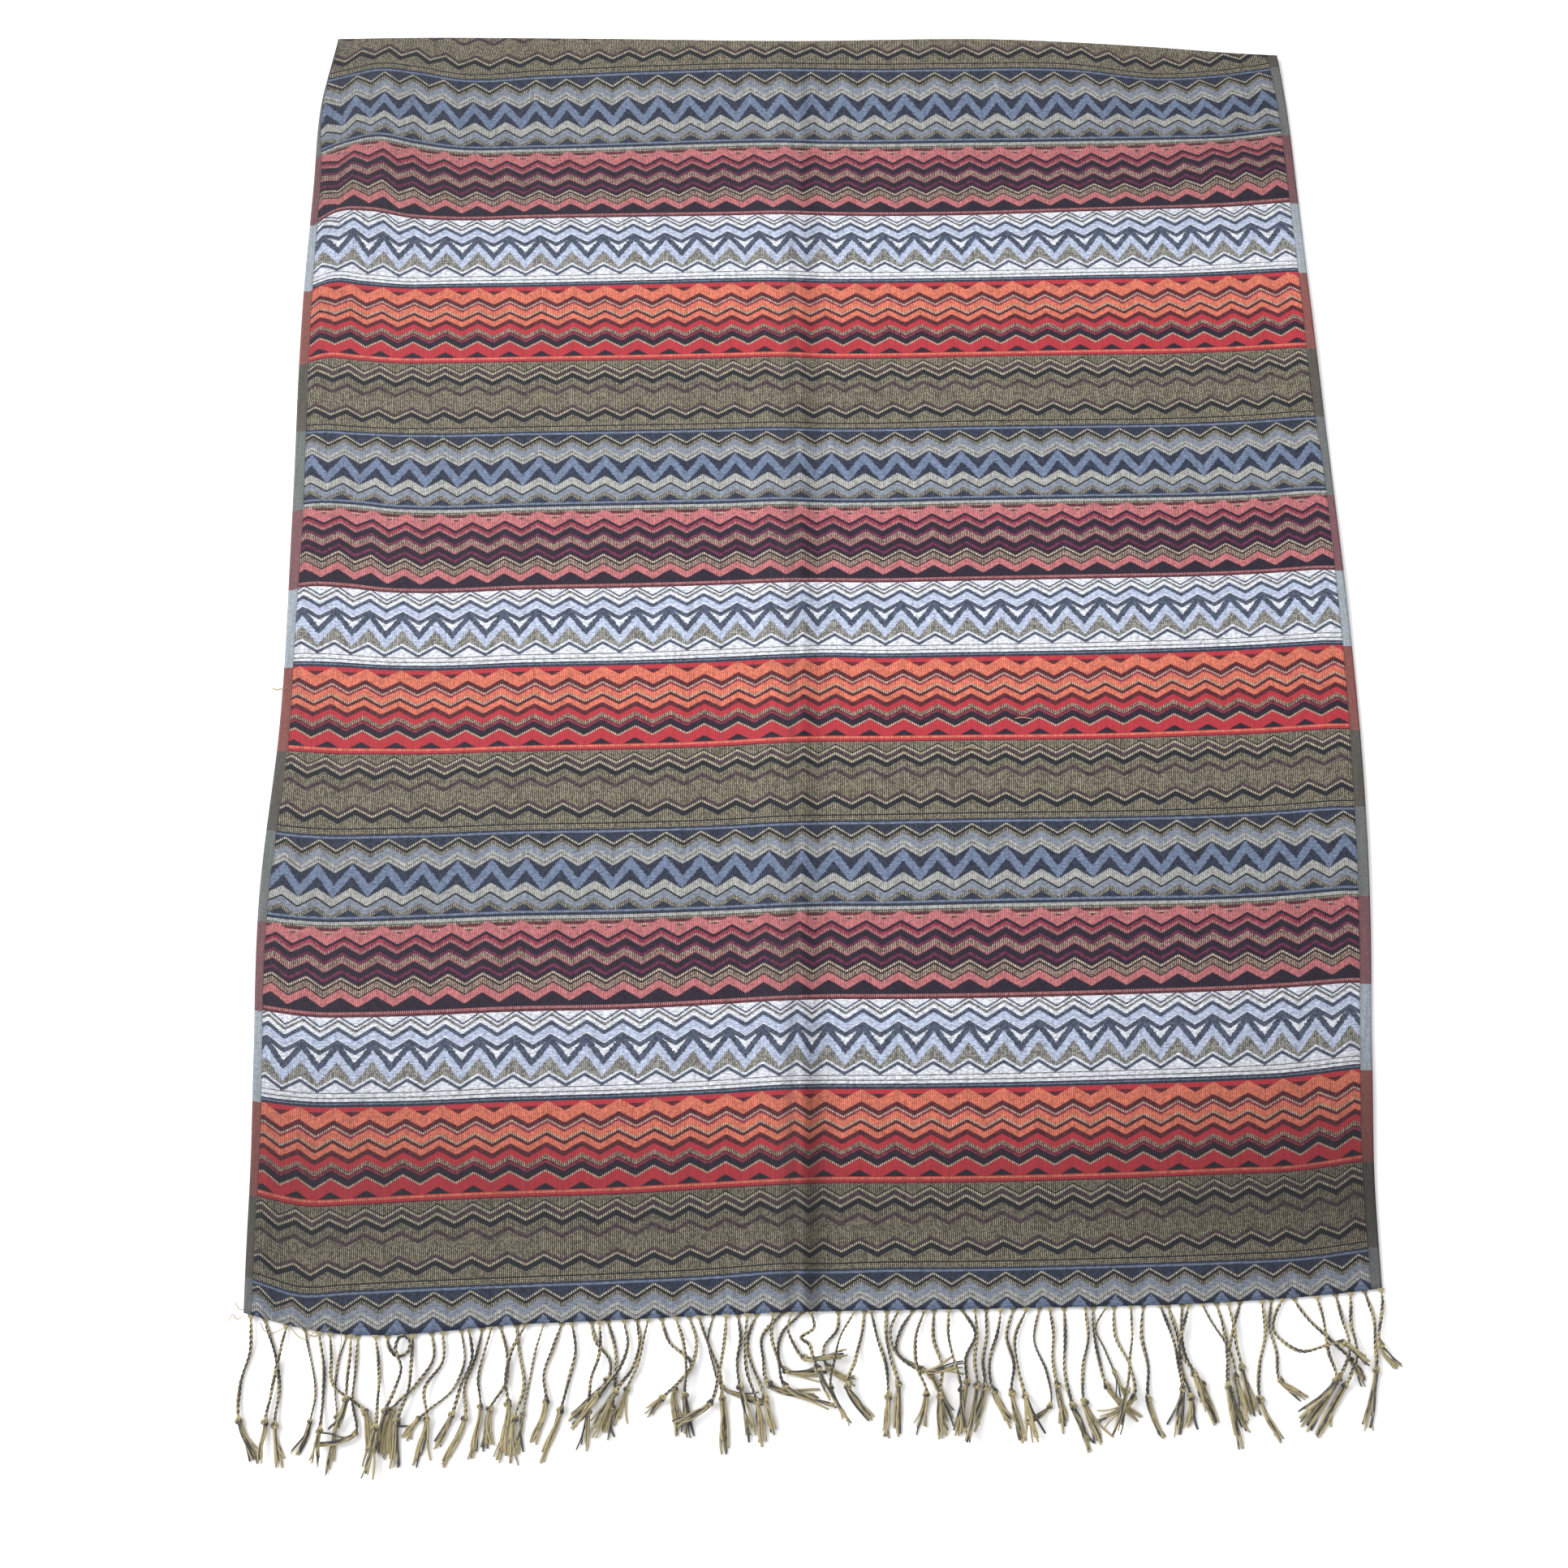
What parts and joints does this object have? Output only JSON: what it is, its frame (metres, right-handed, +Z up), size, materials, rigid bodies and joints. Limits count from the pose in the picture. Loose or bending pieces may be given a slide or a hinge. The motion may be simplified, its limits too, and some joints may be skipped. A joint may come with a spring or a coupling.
{
  "type": "pashmina shawl",
  "caption": "Woven fringed shawl folded once across its length and laid flat, with a lengthwise crease, self-finished edges and knotted tassels along the near hem.",
  "frame": {"origin": "The middle of the cloth's flat underside, on the surface it lies on", "axes": "X across the cloth, Y from the fringed hem to the fold, Z up"},
  "size_m": [0.727, 1.0141, 0.013],
  "materials": {
    "upper_half": "woven jacquard in bands of zigzags, faint silky sheen",
    "under_half": "same woven cloth, hidden side",
    "upper_fringe": "two-ply twisted yarn with loose tassels",
    "under_fringe": "two-ply twisted yarn with loose tassels"
  },
  "bodies": {
    "root": {"upper_half": "upper_half", "under_half": "under_half", "upper_fringe": "upper_fringe", "under_fringe": "under_fringe"}
  },
  "joints": []
}
